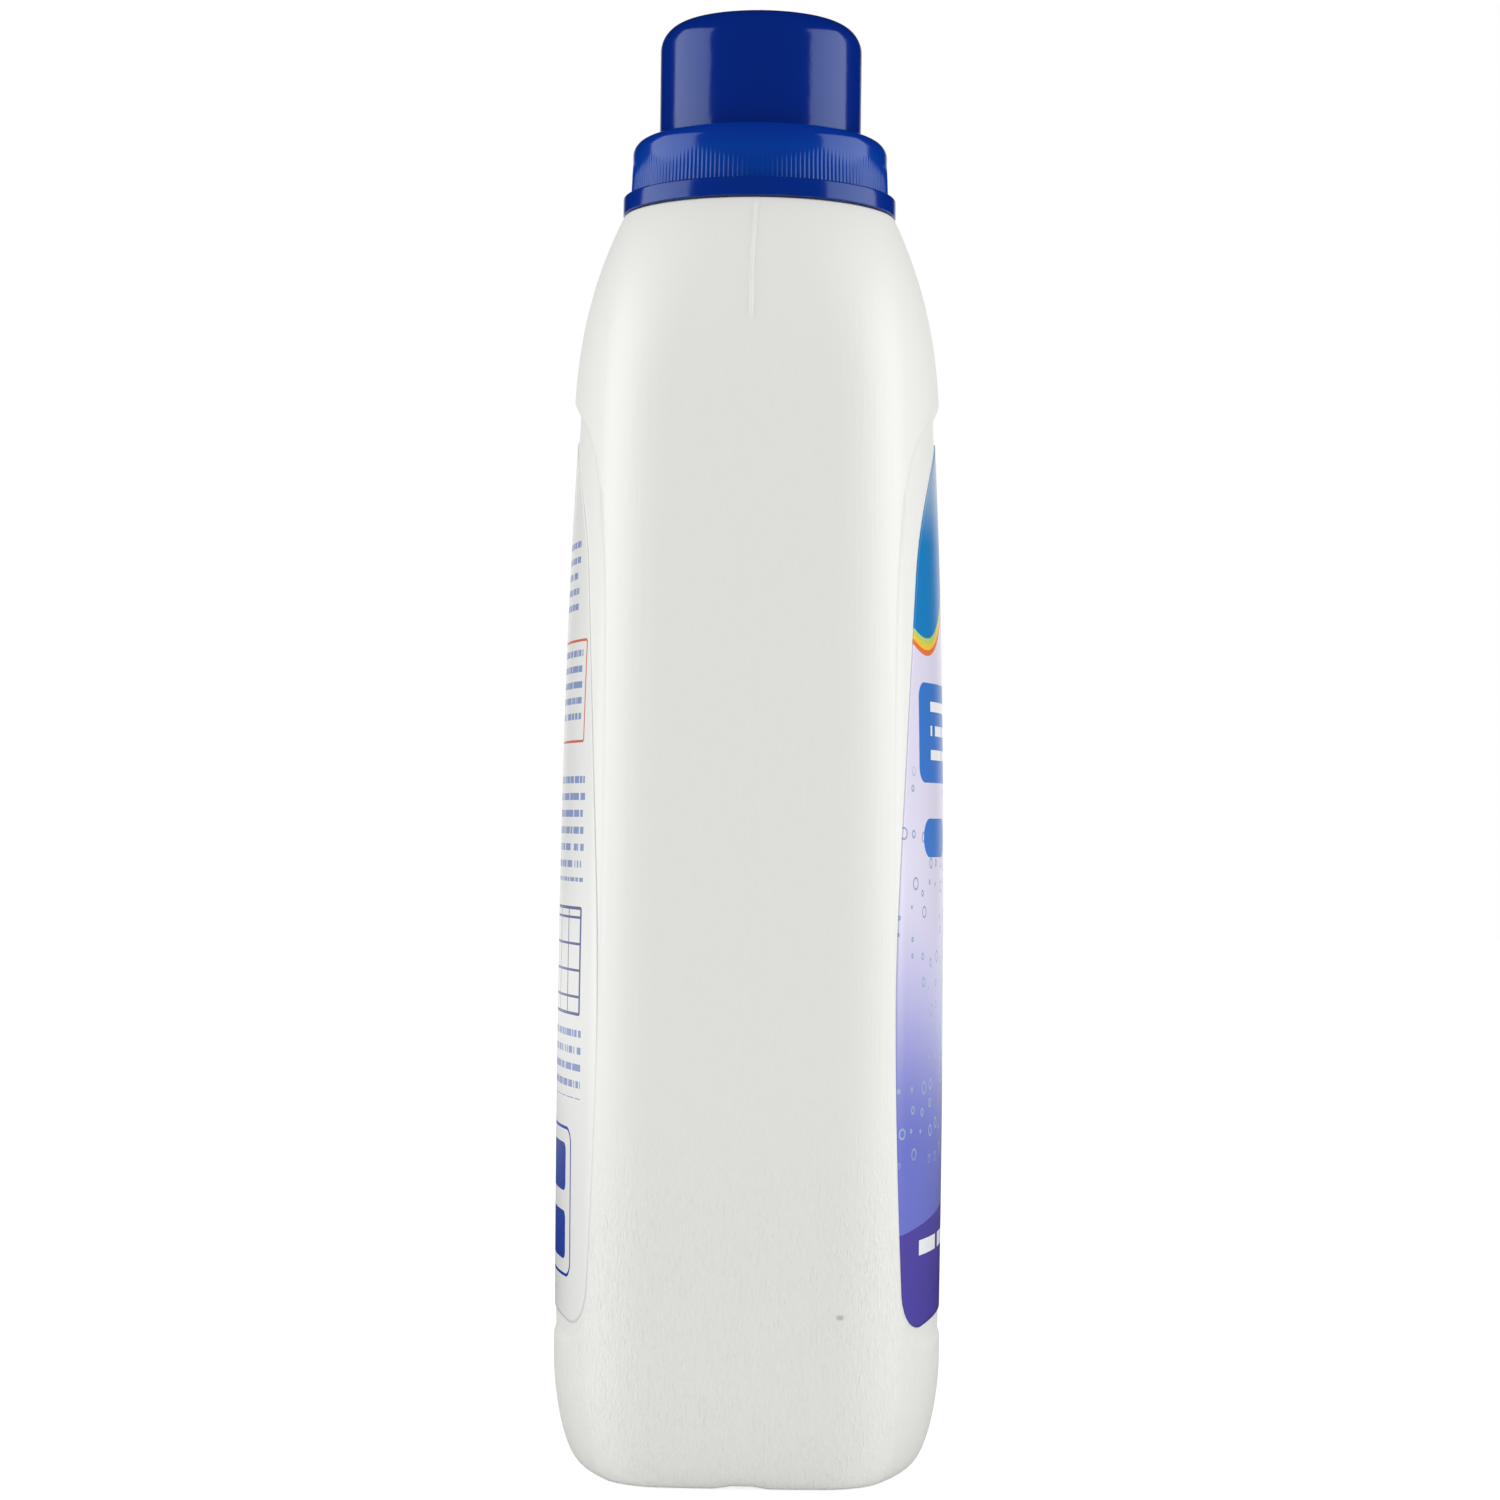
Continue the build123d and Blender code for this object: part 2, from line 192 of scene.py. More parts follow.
def outlineArcs(reachX, reachY, corner):
    # the three arcs of one quarter, tangent to each other: side, corner and face
    sf, cf = math.sin(math.radians(bodyForm["faceTurn"])), math.cos(math.radians(bodyForm["faceTurn"]))
    ss, cs = math.sin(math.radians(bodyForm["sideTurn"])), math.cos(math.radians(bodyForm["sideTurn"]))
    beyondX = reachX - corner * (cs - sf)
    beyondY = reachY - corner * (cf - ss)
    turned = sf * ss - (1 - cs) * (1 - cf)
    face = (beyondX * ss - beyondY * (1 - cs)) / turned
    side = (beyondY * sf - beyondX * (1 - cf)) / turned
    return dict(
        side=side, sideX=reachX - side, face=face, faceY=reachY - face, corner=corner,
        cornerX=(face - corner) * sf, cornerY=reachY - face + (face - corner) * cf,
    )


def quarterPoints(turns, reachX, reachY, corner):
    # a point of the quarter for each normal angle: its arc's centre plus its radius along the normal
    arcs = {key: value[:, None] for key, value in outlineArcs(reachX, reachY, corner).items()}
    a = np.radians(turns)
    onSide = turns <= bodyForm["sideTurn"] + 1e-9
    onFace = turns > 90 - bodyForm["faceTurn"] + 1e-9
    radius = np.where(onSide, arcs["side"], np.where(onFace, arcs["face"], arcs["corner"]))
    centreX = np.where(onSide, arcs["sideX"], np.where(onFace, 0, arcs["cornerX"]))
    centreY = np.where(onSide, 0, np.where(onFace, arcs["faceY"], arcs["cornerY"]))
    return centreX + radius * np.cos(a), centreY + radius * np.sin(a)


def wholeTurn(x, y, z):
    # one quarter mirrored to the whole outline, starting at +X and running towards +Y
    parts = [(x, y), (-x[:, -2::-1], y[:, -2::-1]), (-x[:, 1:], -y[:, 1:]), (x[:, -2:0:-1], -y[:, -2:0:-1])]
    allX = np.concatenate([p[0] for p in parts], axis=1)
    allY = np.concatenate([p[1] for p in parts], axis=1)
    return np.stack([allX, allY, np.broadcast_to(z if z.ndim == 2 else z[:, None], allX.shape)], axis=-1)


def circleThrough(a, b, c):
    # centre and radius of the circle through three points
    ax, ay, bx, by, cx, cy = *a, *b, *c
    d = 2 * (ax * (by - cy) + bx * (cy - ay) + cx * (ay - by))
    ux = ((ax**2 + ay**2) * (by - cy) + (bx**2 + by**2) * (cy - ay) + (cx**2 + cy**2) * (ay - by)) / d
    uy = ((ax**2 + ay**2) * (cx - bx) + (bx**2 + by**2) * (ax - cx) + (cx**2 + cy**2) * (bx - ax)) / d
    return (ux, uy), math.hypot(ax - ux, ay - uy)


def roundedAnd(a, b, radius):
    # distance to where both hold, with a round corner: the length of the positive parts, less the radius
    inner = np.minimum(np.maximum(a, b) + radius, 0)
    return inner + np.hypot(np.maximum(a + radius, 0), np.maximum(b + radius, 0)) - radius


def panelDistance(x, z):
    # signed distance to the panel's outline, negative inside: the arch above, a side arc and the bowed bottom
    p = panelForm
    drop = p["archRadius"] - math.sqrt(p["archRadius"] ** 2 - p["topHalfWidth"] ** 2)
    foot = (p["footHalfWidth"], p["bottom"] + p["bow"])
    topCorner = (p["topHalfWidth"], p["top"] - drop)
    sideCentre, sideRadius = circleThrough(foot, (p["halfWidth"], p["widestHeight"]), topCorner)
    bowCentre, bowRadius = circleThrough((-foot[0], foot[1]), (0, p["bottom"]), foot)
    side = np.hypot(np.abs(x) - sideCentre[0], z - sideCentre[1]) - sideRadius
    arch = np.hypot(x, np.maximum(z - (p["top"] - p["archRadius"]), 0)) - p["archRadius"]
    bow = np.hypot(x - bowCentre[0], z - bowCentre[1]) - bowRadius
    return roundedAnd(roundedAnd(side, arch, p["cornerRadius"]), bow, p["footRadius"])


def bodySurface(turns, z):
    # plain form and panel form at the same normal angles, mixed by a soft step across the panel's edge
    x, y = quarterPoints(turns, halfWidth(z), halfDepth(z), cornerAt(z))
    sunkX, sunkY = quarterPoints(turns, halfWidth(z), halfDepth(z) - panelDepthAt(z), cornerAt(z))
    inside = ease(0.5 - panelDistance(x, z[:, None]) / panelForm["edge"])
    inside = inside * (turns > bodyForm["sideTurn"])
    return x + (sunkX - x) * inside, y + (sunkY - y) * inside


def seamLift(y, z):
    # a fine raised line: a bell curve across the seam, tall on the shoulder and faint below it, with its
    # crest a little off the middle there and a small jog where the mould halves met
    s = seamForm
    tall = ease((z - s["flashEnd"]) / s["flashRun"]) * s["height"] + s["faintHeight"]
    tall = tall * ease((bodyForm["shoulderHeight"] - z) / s["topRun"] + s["topShare"])
    leaning = ease((z - s["leanStart"]) / s["leanRun"])
    back = s["backShare"] * ease((z - s["jogHeight"]) / s["backRun"])
    crest = s["lean"] * (leaning - back) + s["jog"] * np.exp(-(((z - s["jogHeight"]) / s["jogReach"]) ** 2))
    return tall * np.exp(-(((y - crest) / (s["width"] / 2)) ** 2))


def threadLift(angle, z):
    # one start of thread: a trapezoid across the helix, faded out over a short turn at both ends
    n = neckForm
    turn = np.mod(angle, 2 * np.pi) / (2 * np.pi)
    middle = bodyForm["shoulderHeight"] + n["threadFirst"] + n["threadLead"] * turn
    off = np.abs(z - middle)
    flank = (n["rootWidth"] - n["crestWidth"]) / 2
    high = np.clip((n["rootWidth"] / 2 - off) / flank, 0, 1)
    ends = ease(turn / n["threadFade"]) * ease((n["threadTurns"] - turn) / n["threadFade"])
    return n["threadDepth"] * high * ends


# How close the bottle's columns and rows lie: turns of the columns' normals, heights of the rows
bottleMesh = dict(
    seamLines=(0, 0.11, 0.22, 0.33, 0.44, 0.56, 0.7, 0.9, 1.3, 2.0), seamReach=0.8, sideColumns=8,
    panelTurn=40.0, middleTurn=78.0, columns=(9, 24, 25, 16),
    heelRows=28, panelFoot=(21.5, 35.5), panelHead=(186.0, 207.0), bodyRows=(4, 28, 34, 42), shoulderRows=33,
    shoulderCrowd=1.35, baseRows=7, flatScales=(0.12, 0.4, 0.7, 0.9), rimShares=(0.6, 0.25),
    threadRows=30, edgeRows=5, insideShares=(1.0, 0.82, 0.8, 0.1, 0.08, 0.0), insideRows=(7, 6, 6),
    floorRise=(0.95, 0.15),
)


def bodyRows():
    # heights from the floor up: closer in the heel, at both ends of the panel and at the foot of the shoulder
    b, m = bodyForm, bottleMesh
    heel = b["heelHeight"] * (1 - np.cos(np.radians(np.linspace(0, 90, m["heelRows"]))))
    marks = (b["heelHeight"], *m["panelFoot"], *m["panelHead"])
    crowded = 1 - (1 - spaced(0, 1, m["shoulderRows"])) ** m["shoulderCrowd"]
    shoulder = marks[-1] + (b["shoulderHeight"] - marks[-1]) * crowded
    return np.concatenate([heel, spacedMarks(marks, m["bodyRows"]), shoulder])


def bodyTurns(z):
    # normal angles of one quarter's columns at each height: a few at fixed distances from the seam, closer
    # together where the side gets short, the rest of the side evenly, then the corner, then the face. From
    # panelTurn on they are close, because the panel's edge runs across them.
    b, m = bodyForm, bottleMesh
    arcs = outlineArcs(halfWidth(z), halfDepth(z), cornerAt(z))
    sideEnd = arcs["side"] * math.sin(math.radians(b["sideTurn"]))
    seamLines = np.array(m["seamLines"])
    squeeze = np.minimum(1, m["seamReach"] * sideEnd / seamLines[-1])
    near = np.degrees(np.arcsin(seamLines[None, :] * (squeeze / arcs["side"])[:, None]))
    rest = near[:, -1:] + (b["sideTurn"] - near[:, -1:]) * spaced(0, 1, m["sideColumns"])[None, :]
    marks = (b["sideTurn"], m["panelTurn"], 90 - b["faceTurn"], m["middleTurn"], 90)
    beyond = np.repeat(spacedMarks(marks, m["columns"])[None, :], len(z), axis=0)
    return np.concatenate([near, rest, beyond], axis=1)


def shrunkRows(row, scales):
    # one row repeated at its own height, drawn in towards the axis
    return row * np.stack([scales, scales, np.ones(len(scales))], axis=1)[:, None, :]


def baseGrid(turns):
    # the base from its middle out to the heel: the hollow's flat, its slope and the standing rim
    b, m = bodyForm, bottleMesh
    slope = np.linspace(0, 1, m["baseRows"])
    onRim = b["rimWidth"] * np.array(m["rimShares"])
    insets = np.concatenate([b["rimWidth"] + b["dishRun"] * (1 - slope), onRim])
    lifts = np.concatenate([b["dishDepth"] * (1 - ease(slope)), np.zeros(len(onRim))])
    ground = np.zeros(len(insets))
    cornerMix = np.clip(insets / b["rimWidth"], 0, 1)
    corner = cornerAt(ground) * (1 - cornerMix) + b["dishCorner"] * cornerMix
    turns = np.repeat(turns[:1], len(insets), axis=0)
    x, y = quarterPoints(turns, halfWidth(ground) - insets, halfDepth(ground) - insets, corner)
    base = wholeTurn(x, y, lifts)
    return np.concatenate([shrunkRows(base[:1], m["flatScales"]), base], axis=0)


def neckProfile():
    # radius and height: the land's end, the bead, the wall that carries the thread, the mouth and the bore
    b, n, m = bodyForm, neckForm, bottleMesh
    edge, land, rows = n["edge"], b["shoulderHeight"], m["edgeRows"]
    beadTop = land + n["beadHeight"]
    footRun, footRise = n["beadFoot"]
    boreRun, boreRise = n["boreEdge"]
    side = np.linspace(beadTop + n["rootHeight"], n["top"] - edge, m["threadRows"])
    return np.concatenate([
        [[b["landRadius"] - n["landOverlap"], land + n["landLift"]]],
        [[n["bead"] + footRun, land + n["landLift"]], [n["bead"], land + footRise]],
        arcPoints((n["bead"] - edge, beadTop - edge), edge, 0, 90, rows),
        [[n["radius"] + out, beadTop + up] for out, up in n["rootSteps"]],
        np.stack([np.full(len(side), n["radius"]), side], axis=1),
        arcPoints((n["radius"] - edge, n["top"] - edge), edge, n["edgeStart"], 90, rows),
        arcPoints((n["bore"] + edge, n["top"] - edge), edge, 90, 180, rows),
        [[n["bore"], n["top"] - n["boreRow"]], [n["bore"], land - b["wall"] + boreRise]],
        [[n["bore"] + boreRun, land - b["wall"]]],
    ])


def neckGrid(turns):
    # the neck's profile turned about the axis, on the body's columns, with the thread raised on its wall
    profile = neckProfile()
    normals = np.radians(turns[-1])
    circle = wholeTurn(np.cos(normals)[None], np.sin(normals)[None], np.zeros(1))[0]
    angle = np.arctan2(circle[:, 1], circle[:, 0])[None, :]
    onWall = np.isclose(profile[:, :1], neckForm["radius"])
    reach = 1 + threadLift(angle, profile[:, 1:]) * onWall / neckForm["radius"]
    flat = profile[:, None, :1] * circle[None, :, :2] * reach[..., None]
    height = np.broadcast_to(profile[:, None, 1:], flat.shape[:2] + (1,))
    return np.concatenate([flat, height], axis=-1)


def insideGrid(turns):
    # the inside wall, from under the land down to the floor, which rises over the hollow
    b, m = bodyForm, bottleMesh
    marks = m["insideShares"]
    share = np.concatenate([
        np.linspace(high, low, count) for high, low, count in zip(marks[::2], marks[1::2], m["insideRows"])
    ])
    z = share * b["shoulderHeight"]
    reachY = halfDepth(z) - b["wall"] - panelDepthAt(z)
    corner = np.maximum(cornerAt(z) - b["wall"], 1)
    x, y = quarterPoints(np.repeat(turns[-1:], len(share), axis=0), halfWidth(z) - b["wall"], reachY, corner)
    inner = wholeTurn(x, y, b["baseWall"] + share * (b["shoulderHeight"] - b["baseWall"] - b["wall"]))
    scales = np.array(m["flatScales"][::-1])
    riseFrom, riseRun = m["floorRise"]
    floorRows = shrunkRows(inner[-1:], scales)
    floorRows[..., 2] += b["dishDepth"] * ease((riseFrom - scales) / riseRun)[:, None]
    return np.concatenate([inner, floorRows], axis=0)


def makeBottle(material):
    b = bodyForm
    z = bodyRows()
    turns = bodyTurns(z)
    outer = wholeTurn(*bodySurface(turns, z), z)
    outer[..., 0] += np.sign(outer[..., 0]) * seamLift(outer[..., 1], outer[..., 2])
    lower = np.concatenate([baseGrid(turns), outer], axis=0)
    # the channel of the pinch-off line, pressed across the rim and the heel's foot
    across = ease(b["pinchReach"] - np.abs(lower[..., 1]) / (b["pinchWidth"] / 2))
    lower[..., 2] += b["pinchDepth"] * across * ease(1 - lower[..., 2] / b["pinchHeight"])
    grid = np.concatenate([lower, neckGrid(turns), insideGrid(turns)], axis=0)
    finishPiece(meshFromGrid("bottle_shell", grid), "bottle_body", "bottle", material)


# Labels
labelForm = dict(
    thickness=0.15, glue=0.1, bedded=0.03, top=198.2, bottom=29.6, bow=1.9, cornerRadius=8.0, halfWidth=36.8,
    widestHeight=88.0, footHalfWidth=33.2, archHalfWidth=27.5, archHeight=170.0, middle=100.0,
    edgePoints=320, rings=46, ringCrowd=1.25, searchReach=250.0, searchSteps=40,
)


def tangentCircle(point, direction, other):
    # circle that leaves a point along a direction and goes through another point
    toOther = np.subtract(other, point)
    normal = np.array([-direction[1], direction[0]])
    radius = toOther @ toOther / (2 * (toOther @ normal))
    return np.add(point, radius * normal), abs(radius)


def labelEdge():
    # the label's outline as points at even turns about its middle: for each direction the nearest crossing
    # of the side arc, the crest arc and the bowed bottom, found by halving, the bottom corners rounded
    f = labelForm
    count = f["edgePoints"]
    foot = (f["footHalfWidth"], f["bottom"] - f["bow"])
    arch = (f["archHalfWidth"], f["archHeight"])
    sideCentre, sideRadius = circleThrough(foot, (f["halfWidth"], f["widestHeight"]), arch)
    spoke = np.subtract(arch, sideCentre) / sideRadius
    crestCentre, crestRadius = tangentCircle(arch, (-spoke[1], spoke[0]), (0, f["top"]))
    bowCentre, bowRadius = circleThrough((-foot[0], foot[1]), (0, f["bottom"]), foot)
    angle = np.linspace(0, 2 * np.pi, count, endpoint=False)
    step = np.stack([np.cos(angle), np.sin(angle)], axis=1)
    low, high = np.zeros(count), np.full(count, f["searchReach"])

    def outside(r):
        x, z = np.abs(step[:, 0] * r), f["middle"] + step[:, 1] * r
        side = np.hypot(x - sideCentre[0], z - sideCentre[1]) - sideRadius
        crest = np.hypot(x - crestCentre[0], z - crestCentre[1]) - crestRadius
        bow = bowRadius - np.hypot(x - bowCentre[0], z - bowCentre[1])
        upper = np.where(z > f["archHeight"], crest, side)
        return roundedAnd(upper, bow, f["cornerRadius"])

    for _ in range(f["searchSteps"]):
        half = (low + high) / 2
        out = outside(half) > 0
        high, low = np.where(out, half, high), np.where(out, low, half)
    return step * high[:, None]


def faceDepth(x, z, extra):
    # how far out a label face's panel lies: the arc's centre plus the root of radius^2 - x^2, on the face's
    # arc or, past its end, on the corner's
    arcs = outlineArcs(halfWidth(z), halfDepth(z) - panelDepthAt(z) + extra, cornerAt(z))
    onFace = arcs["faceY"] + np.sqrt(np.maximum(arcs["face"] ** 2 - x**2, 0))
    across = np.abs(x) - arcs["cornerX"]
    onCorner = arcs["cornerY"] + np.sqrt(np.maximum(arcs["corner"] ** 2 - across**2, 0))
    return np.where(np.abs(x) > arcs["face"] * math.sin(math.radians(bodyForm["faceTurn"])), onCorner, onFace)


def makeLabel(name, side, material):
    f = labelForm
    rings = 1 - (1 - spaced(0, 1, f["rings"])) ** f["ringCrowd"]
    flatRing = rings[:, None, None] * labelEdge()[None]
    x, z = flatRing[..., 0], f["middle"] + flatRing[..., 1]
    under = np.stack([x, faceDepth(x, z, -f["bedded"]), z], axis=-1)
    over = np.stack([x, faceDepth(x, z, f["glue"] + f["thickness"]), z], axis=-1)
    grid = np.concatenate([over, under[::-1]], axis=0)
    grid[..., 1] *= side
    piece = meshFromGrid(name, grid, flip=side < 0)
    finishPiece(piece, "bottle_body", name.replace("_film", ""), material)


# Dosing cap
capForm = dict(
    cupRadius=19.8, cupWall=1.3, edgeRadius=5.2, edgeTurn=84.0, crown=0.8, footRadius=0.6, cupHeight=23.8,
    plate=1.5, skirtRadius=25.0, skirtDraft=0.3, skirtInner=23.5, shoulderRadius=2.8,
    ribCount=176, ribDepth=0.21, ribTopDrop=4.2, ribFade=4.0,
    flareRadius=26.8, flareHeight=3.2, flareRounding=0.4, flareWall=1.4, lip=0.25,
    ledgeGroove=(0.15, 0.12), cupEdge=0.2, skirtTopEdge=(0.3, 0.5), skirtFootEdge=0.1,
)
# How close the cap's columns and rows lie; a hold is a row's distance from the bend that it keeps tight
capMesh = dict(
    axisGap=0.4, roofRows=(4.0, 10.0), cupRows=9, wallHold=2.0, threadRows=26, lipRows=5, flareHold=1.0,
    flareRows=6, ribFoot=(0.02, 0.3), ribSteps=9, ribHead=(0.9, 0.6), ribHeadRows=4, ribHold=0.25,
    ribColumns=4, shoulderRows=14, footRows=7, edgeHold=1.0, edgeRows=16, crownRows=8,
)


def capHeights():
    # the cap's main heights, counted from its top and its bottom
    c = capForm
    top, bottom = topOf("dosing_cap"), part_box("dosing_cap")[0][2] / mm
    plateTop = top - c["cupHeight"]
    flareEdge = bottom + c["flareHeight"]
    return dict(
        top=top, sideTop=top - c["crown"] - c["edgeRadius"], plateTop=plateTop, under=plateTop - c["plate"],
        ribTop=plateTop - c["ribTopDrop"], flareTop=flareEdge + c["flareRounding"], flareEdge=flareEdge,
        bottom=bottom,
    )


def cupInside(h):
    # out along the cup's roof, round its edge, down its wall and out under the plate
    c, m = capForm, capMesh
    inner, bend = c["cupRadius"] - c["cupWall"], c["edgeRadius"] - c["cupWall"]
    outEdge = c["skirtTopEdge"][0]
    return np.concatenate([
        [[r, h["sideTop"] + bend] for r in (m["axisGap"], *m["roofRows"])],
        arcPoints((inner - bend, h["sideTop"]), bend, 90, 0, m["cupRows"]),
        [[inner, h["sideTop"] - m["wallHold"]], [inner, h["under"] + m["wallHold"]]],
        [[inner, h["under"] + c["cupEdge"]], [inner + c["cupEdge"], h["under"]]],
        [[c["skirtInner"] - outEdge, h["under"]]],
    ])


def threadWall(h):
    # the skirt's inside, which carries the thread
    c, m = capForm, capMesh
    foot = h["flareTop"] - c["flareWall"] + c["skirtFootEdge"]
    z = np.linspace(h["under"] - c["skirtTopEdge"][1], foot, m["threadRows"])
    return np.stack([np.full(len(z), c["skirtInner"]), z], axis=1)


def footRing(h):
    # inside the foot ring, round its lip and up outside, its rounded edge, and a fine groove on its flat top
    c, m = capForm, capMesh
    inner, outer, lip = c["flareRadius"] - c["flareWall"], c["flareRadius"], c["lip"]
    roof = h["flareTop"] - c["flareWall"]
    ribFoot = c["skirtRadius"] + c["skirtDraft"]
    grooveWidth, grooveDepth = c["ledgeGroove"]
    return np.concatenate([
        [[c["skirtInner"] + c["skirtFootEdge"], roof], [inner, roof]],
        [[inner, h["bottom"] + lip], [inner + lip, h["bottom"]]],
        arcPoints((outer - lip, h["bottom"] + lip), lip, -90, 0, m["lipRows"]),
        [[outer, h["flareEdge"] - m["flareHold"]]],
        arcPoints((outer - c["flareRounding"], h["flareEdge"]), c["flareRounding"], 0, 90, m["flareRows"]),
        [[ribFoot + grooveWidth, h["flareTop"]], [ribFoot, h["flareTop"] - grooveDepth]],
    ])


def ribBand(h):
    # the leaning wall that carries the ribs
    c, m = capForm, capMesh
    footLow, footHigh = m["ribFoot"]
    headLow, headHigh = m["ribHead"]
    z = np.concatenate([
        [h["flareTop"] + footLow],
        np.linspace(h["flareTop"] + footHigh, h["ribTop"] - headLow, m["ribSteps"]),
        np.linspace(h["ribTop"] - headHigh, h["ribTop"], m["ribHeadRows"]),
    ])
    low, high = c["skirtRadius"] + c["skirtDraft"], c["skirtRadius"]
    return np.stack([low + (high - low) * (z - h["flareTop"]) / (h["ribTop"] - h["flareTop"]), z], axis=1)


def cupOutside(h):
    # the skirt's rounded shoulder, the cup's foot, side and edge, and its low crown, an arc to the middle
    c, m = capForm, capMesh
    cup, bend, foot = c["cupRadius"], c["edgeRadius"], c["footRadius"]
    skirt, shoulder = c["skirtRadius"], c["shoulderRadius"]
    edge = arcPoints((cup - bend, h["sideTop"]), bend, 0, c["edgeTurn"], m["edgeRows"])
    reach, drop = edge[-1, 0], h["top"] - edge[-1, 1]
    crownRadius = (reach**2 + drop**2) / (2 * drop)
    crown = spaced(reach, m["axisGap"], m["crownRows"])
    return np.concatenate([
        [[skirt, h["ribTop"] + m["ribHold"]]],
        arcPoints((skirt - shoulder, h["plateTop"] - shoulder), shoulder, 0, 90, m["shoulderRows"]),
        arcPoints((cup + foot, h["plateTop"] + foot), foot, 270, 180, m["footRows"]),
        [[cup, h["plateTop"] + m["wallHold"]], [cup, (h["plateTop"] + h["sideTop"]) / 2]],
        [[cup, h["sideTop"] - m["edgeHold"]]],
        edge,
        np.stack([crown, h["top"] - crownRadius + np.sqrt(crownRadius**2 - crown**2)], axis=1),
    ])


def makeCap(material):
    # a profile turned about the axis: down the inside from the crown's middle, round the foot and up outside.
    # Its radius gives way between ribs, along a raised cosine, and comes in where the thread stands.
    c, h = capForm, capHeights()
    parts = dict(
        cup=cupInside(h), thread=threadWall(h), foot=footRing(h), ribs=ribBand(h), outside=cupOutside(h),
    )
    part = np.repeat(list(parts), [len(points) for points in parts.values()])[:, None]
    profile = np.concatenate(list(parts.values()))
    z = profile[:, 1:]
    angle = np.linspace(0, 2 * np.pi, c["ribCount"] * capMesh["ribColumns"], endpoint=False)
    between = 0.5 - 0.5 * np.cos(c["ribCount"] * angle)
    grooved = c["ribDepth"] * (part == "ribs") * ease((h["ribTop"] - z) / c["ribFade"]) * between
    threaded = (part == "thread") * threadLift(angle - math.pi, z)
    radius = profile[:, :1] - grooved - threaded
    height = np.broadcast_to(z, radius.shape)
    grid = np.stack([radius * np.cos(angle), radius * np.sin(angle), height], axis=-1)
    finishPiece(meshFromGrid("cap_shell", grid), "cap_body", "dosing_cap", material)


# Pouring fitting and sealing ring: the solids' own forms with soft edges
softForm = dict(mergeMetres=2e-6, flatTurn=0.5, sharpTurn=28, bevelTurn=40, bevelSteps=2)


def makeSoftened(name, node, body, material, bevel):
    # a copy of the node's mesh: loose triangles joined, flat parts merged, edges beveled and shaded by angle
    s = softForm
    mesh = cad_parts[node].data.copy()
    work = bmesh.new()
    work.from_mesh(mesh)
    bmesh.ops.remove_doubles(work, verts=work.verts, dist=s["mergeMetres"])
    flat = math.radians(s["flatTurn"])
    bmesh.ops.dissolve_limit(work, angle_limit=flat, verts=work.verts, edges=work.edges)
    work.to_mesh(mesh)
    work.free()
    mesh.name = name
    mesh.shade_smooth()
    mesh.set_sharp_from_angle(angle=math.radians(s["sharpTurn"]))
    piece = newObject(name, mesh)
    soften = piece.modifiers.new("soft edges", "BEVEL")
    soften.width = bevel * mm
    soften.segments = s["bevelSteps"]
    soften.limit_method = "ANGLE"
    soften.angle_limit = math.radians(s["bevelTurn"])
    soften.harden_normals = False
    finishPiece(piece, body, node, material)


# Camera, found from the photo's perspective
cameraView = dict(
    focal=3400.0, frame=1500.0, sensor=36.0, mmPerPixel=0.197, horizonRow=817.0, axisColumn=752.7,
    baseRow=1449.5, azimuth=271.2, roll=0.65, clip=(0.01, 20),
)


def makeCamera():
    c = cameraView
    distance = c["focal"] * c["mmPerPixel"]
    height = (c["baseRow"] - c["horizonRow"]) * c["mmPerPixel"]
    a = math.radians(c["azimuth"])
    back = np.array([math.sin(a), -math.cos(a), 0.0])
    right = np.array([math.cos(a), math.sin(a), 0.0])
    side = (c["axisColumn"] - c["frame"] / 2) * c["mmPerPixel"]
    place = back * distance + right * -side + np.array([0, 0, height])
    data = bpy.data.cameras.new("camera")
    data.sensor_width = c["sensor"]
    data.lens = c["focal"] / c["frame"] * c["sensor"]
    data.shift_y = (c["horizonRow"] - c["frame"] / 2) / c["frame"]
    data.clip_start, data.clip_end = c["clip"]
    camera = newObject("camera", data)
    up = np.array([0, 0, 1.0])
    turn = Matrix((right, up, back)).transposed().to_4x4() @ Matrix.Rotation(math.radians(c["roll"]), 4, "Z")
    camera.matrix_world = Matrix.Translation(place * mm) @ turn
    bpy.context.scene.camera = camera
    print("camera at", [round(v, 4) for v in camera.location])


makeCamera()


# Shader helpers
def srgb(red, green, blue):
    # screen values of 0 to 255 turned to the linear ones that shaders take
    c = np.array([red, green, blue]) / 255
    linear = np.where(c <= 0.04045, c / 12.92, ((c + 0.055) / 1.055) ** 2.4)
    return (*[float(v) for v in linear], 1.0)


def feed(socket, value):
    # a value for a socket: a link where it comes from another node, a constant otherwise
    if isinstance(value, bpy.types.NodeSocket):
        socket.id_data.links.new(value, socket)
    else:
        socket.default_value = value


def feedAll(node, **values):
    for name, value in values.items():
        feed(node.inputs[name.replace("_", " ")], value)


def feedRow(node, *values):
    # values for a node's sockets in their own order
    for socket, value in zip(node.inputs, values):
        feed(socket, value)


def nodeFor(kind, *values):
    # a new node in the tree of the first value that comes from a node
    first = next(value for value in values if isinstance(value, bpy.types.NodeSocket))
    return first.id_data.nodes.new(kind)


def calc(operation, *values):
    node = nodeFor("ShaderNodeMath", *values)
    node.operation = operation
    feedRow(node, *values)
    return node.outputs[0]


def allOf(first, *others):
    # 1 where every mask is 1
    for mask in others:
        first = calc("MULTIPLY", first, mask)
    return first


def ramp(value, start, end, low=0.0, high=1.0):
    # a soft step from low to high while the value goes from start to end
    node = nodeFor("ShaderNodeMapRange", value)
    node.interpolation_type = "SMOOTHSTEP"
    feedAll(node, Value=value, From_Min=start, From_Max=end, To_Min=low, To_Max=high)
    return node.outputs[0]


